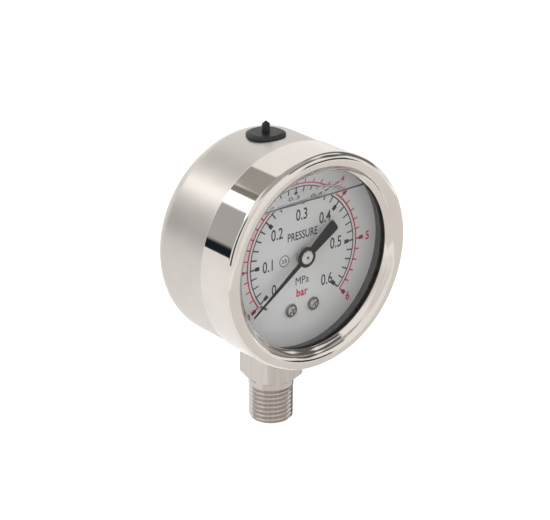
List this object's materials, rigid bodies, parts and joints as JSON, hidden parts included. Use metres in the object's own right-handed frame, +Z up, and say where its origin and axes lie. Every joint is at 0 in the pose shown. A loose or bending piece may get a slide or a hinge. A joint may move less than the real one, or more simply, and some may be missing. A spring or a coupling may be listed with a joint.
{
  "type": "pressure gauge",
  "caption": "Round liquid-filled dial gauge: Bourdon tube, link, toothed sector and pinion turn a pointer over a scale; threaded stem and wrench square below.",
  "frame": {"origin": "centre of the stem's lower end, on the stem's axis, at the mouth of the pressure port", "axes": "+Z up along the stem, -Y is the way the dial faces, +X is to the right of someone reading the dial"},
  "size_m": [0.069, 0.0395, 0.0981],
  "materials": {
    "case_steel": "satin, brushed along its length",
    "bezel_steel": "mirror polished",
    "window_glass": "clear, polished",
    "gasket_rubber": "matte",
    "dial_paint": "matte white enamel",
    "pointer_paint": "matte black enamel",
    "turned_steel": "bright, turned",
    "screw_steel": "bright, nickel-like",
    "movement_steel": "satin, stamped",
    "tube_steel": "drawn, satin",
    "spring_steel": "bright strip",
    "stem_steel": "turned and brushed",
    "plug_rubber": "moulded, satin black"
  },
  "bodies": {
    "housing": {"case": "case_steel", "bezel": "bezel_steel", "window": "window_glass", "window_gasket": "gasket_rubber", "dial": "dial_paint", "stop_pin": "turned_steel", "dial_screws": "screw_steel", "dial_posts": "turned_steel", "socket": "stem_steel", "restrictor_screw": "screw_steel", "bourdon_tube": "tube_steel", "movement_back_plate": "movement_steel", "movement_front_plate": "movement_steel", "plate_pillars": "turned_steel", "plate_screws": "screw_steel", "movement_screws": "screw_steel", "hairspring": "spring_steel", "hairspring_stud": "turned_steel"},
    "pointer_group": {"pointer": "pointer_paint", "pointer_hub": "turned_steel", "pinion": "turned_steel", "hairspring_collet": "turned_steel"},
    "sector_group": {"sector_gear": "movement_steel", "sector_arbor": "turned_steel", "link_sector_screw": "screw_steel"},
    "tip_group": {"bourdon_tip": "tube_steel", "link_tip_screw": "screw_steel"},
    "link_bar": {"link": "movement_steel"},
    "plug": {"fill_plug": "plug_rubber"}
  },
  "joints": [
    {"name": "sector_swing", "type": "hinge", "parent": "housing", "child": "sector_group", "pos_m": [0.01324, 0, 0.04889], "axis": [0, -1, 0], "range_deg": [0, 32.62], "stiffness_Nm_per_rad": 0.04},
    {"name": "pointer_spin", "type": "hinge", "parent": "housing", "child": "pointer_group", "pos_m": [0, 0, 0.06], "axis": [0, 1, 0], "range_deg": [0, 261], "deforming": ["hairspring"]},
    {"name": "tip_travel", "type": "slide", "parent": "housing", "child": "tip_group", "axis": [0.5, 0, 0.866], "range_m": [0, 0.00289], "deforming": ["bourdon_tube"]},
    {"name": "link_swing", "type": "hinge", "parent": "tip_group", "child": "link_bar", "pos_m": [0.02302, 0, 0.05162], "axis": [0, 1, 0], "range_deg": [-2.94, 0]},
    {"name": "fill_plug_pull", "type": "slide", "parent": "housing", "child": "plug", "axis": [0, 0, 1], "range_m": [0, 0.01]}
  ],
  "couplings": [
    {"joint": "pointer_spin", "follows": "sector_swing", "ratio": 8},
    {"joint": "tip_travel", "follows": "sector_swing", "m_per_rad": 0.0050721},
    {"joint": "link_swing", "follows": "sector_swing", "ratio": -0.089838}
  ]
}
